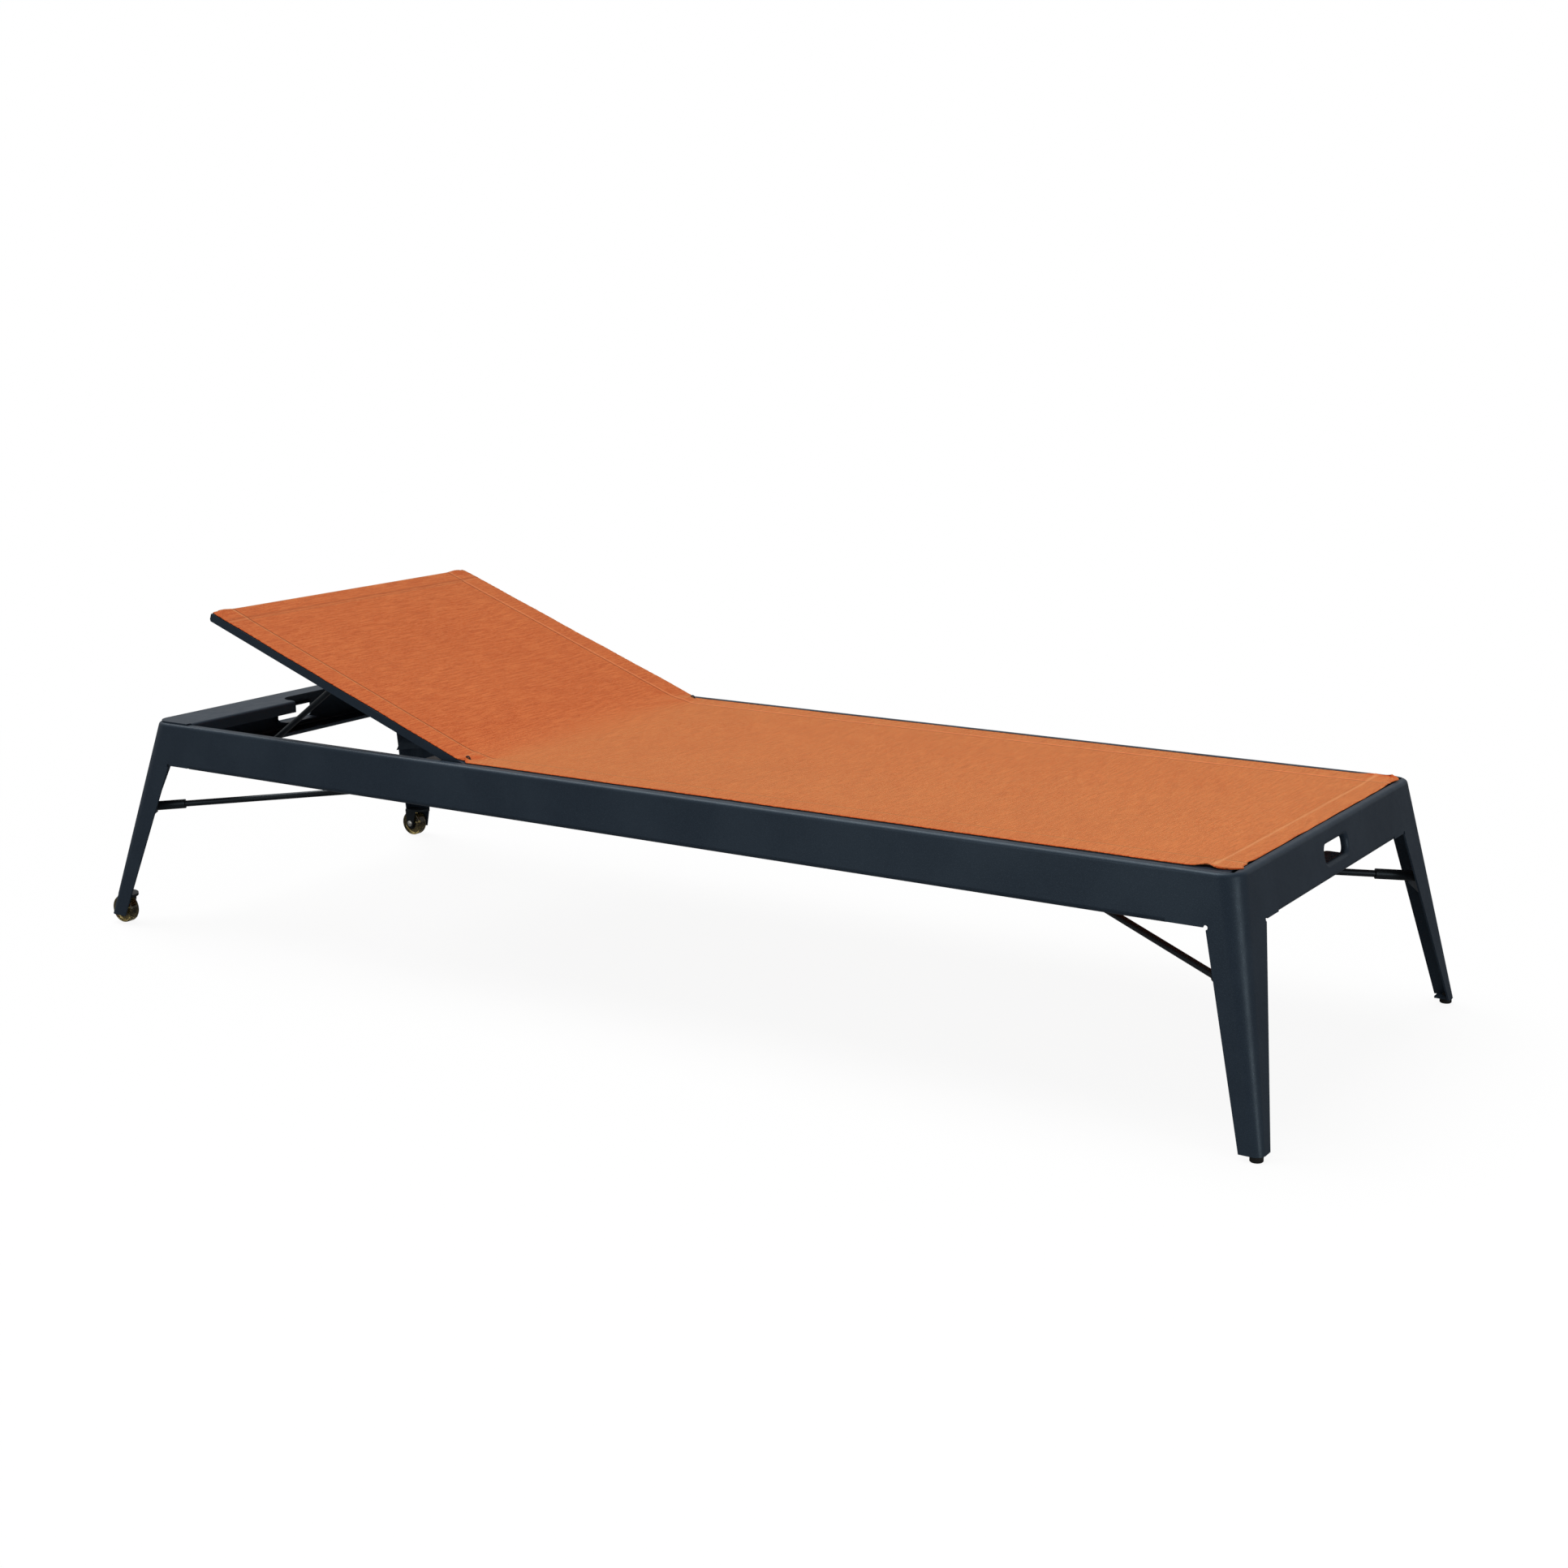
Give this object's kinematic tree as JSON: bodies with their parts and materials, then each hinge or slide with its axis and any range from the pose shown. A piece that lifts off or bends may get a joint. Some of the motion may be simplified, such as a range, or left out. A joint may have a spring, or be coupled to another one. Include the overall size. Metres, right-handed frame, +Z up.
{
  "type": "reclining sun lounger",
  "caption": "Low sheet-steel sun lounger with splayed tapered legs, a stretched fabric sling, a hinged backrest propped on racks, and two castors at the head end.",
  "frame": {"origin": "on the floor under the middle of the lounger's bounding box", "axes": "+X towards the foot end, +Y towards the user's left side, +Z up"},
  "size_m": [1.9998, 0.737, 0.52],
  "materials": {
    "painted_steel": "fine-textured blue-black powder coat with a slight metallic fleck",
    "black_steel": "satin black powder coat",
    "zinc_steel": "bright zinc plate",
    "sling_fabric": "terracotta woven outdoor fabric with fine streaks across the width",
    "foot_rubber": "matte black",
    "black_plastic": "satin black",
    "wheel_core": "black",
    "wheel_tread": "smoky amber polyurethane, glossy"
  },
  "bodies": {
    "frame": {"side_rail_right": "painted_steel", "side_rail_left": "painted_steel", "foot_apron": "painted_steel", "head_apron": "painted_steel", "leg_foot_right": "painted_steel", "leg_foot_left": "painted_steel", "leg_head_right": "painted_steel", "leg_head_left": "painted_steel", "head_plate": "painted_steel", "cross_tube_foot": "painted_steel", "cross_tube_hinge": "painted_steel", "cross_tube_head": "painted_steel", "seat_bar_right": "painted_steel", "seat_bar_left": "painted_steel", "seat_end_bar": "painted_steel", "seat_saddles": "painted_steel", "end_hangers": "painted_steel", "hinge_lugs": "painted_steel", "hinge_pins": "zinc_steel", "brace_foot_right": "black_steel", "brace_foot_left": "black_steel", "brace_head_right": "black_steel", "brace_head_left": "black_steel", "brace_ferrules": "black_steel", "brace_gussets": "painted_steel", "brace_hub_foot": "black_steel", "brace_hub_head": "black_steel", "rack_right": "black_steel", "rack_left": "black_steel", "foot_tabs": "painted_steel", "rubber_feet": "foot_rubber", "castor_bracket_right": "black_steel", "castor_bracket_left": "black_steel", "axle_bolts": "zinc_steel", "seat_sling": "sling_fabric"},
    "backrest": {"back_bar_right": "painted_steel", "back_bar_left": "painted_steel", "back_top_tube": "painted_steel", "back_low_tube": "painted_steel", "bar_plugs": "black_plastic", "stay_bushes": "black_plastic", "hinge_clips": "black_steel", "back_sling": "sling_fabric"},
    "stay": {"stay": "black_steel"},
    "wheel_right": {"wheel_core_right": "wheel_core", "wheel_tread_right": "wheel_tread"},
    "wheel_left": {"wheel_core_left": "wheel_core", "wheel_tread_left": "wheel_tread"}
  },
  "joints": [
    {"name": "backrest_recline", "type": "hinge", "parent": "frame", "child": "backrest", "pos_m": [-0.28232, 0, 0.3265], "axis": [0, 1, 0], "range_deg": [-20, 20]},
    {"name": "stay_swing", "type": "hinge", "parent": "backrest", "child": "stay", "pos_m": [-0.55389, 0, 0.42534], "axis": [0, 1, 0], "range_deg": [-48, 48]},
    {"name": "wheel_right_spin", "type": "hinge", "parent": "frame", "child": "wheel_right", "pos_m": [-0.97737, -0.34935, 0.0225], "axis": [0, 1, 0], "continuous": true},
    {"name": "wheel_left_spin", "type": "hinge", "parent": "frame", "child": "wheel_left", "pos_m": [-0.97737, 0.34935, 0.0225], "axis": [0, 1, 0], "continuous": true}
  ],
  "couplings": [
    {"joint": "stay_swing", "follows": "backrest_recline", "ratio": -2.387}
  ]
}
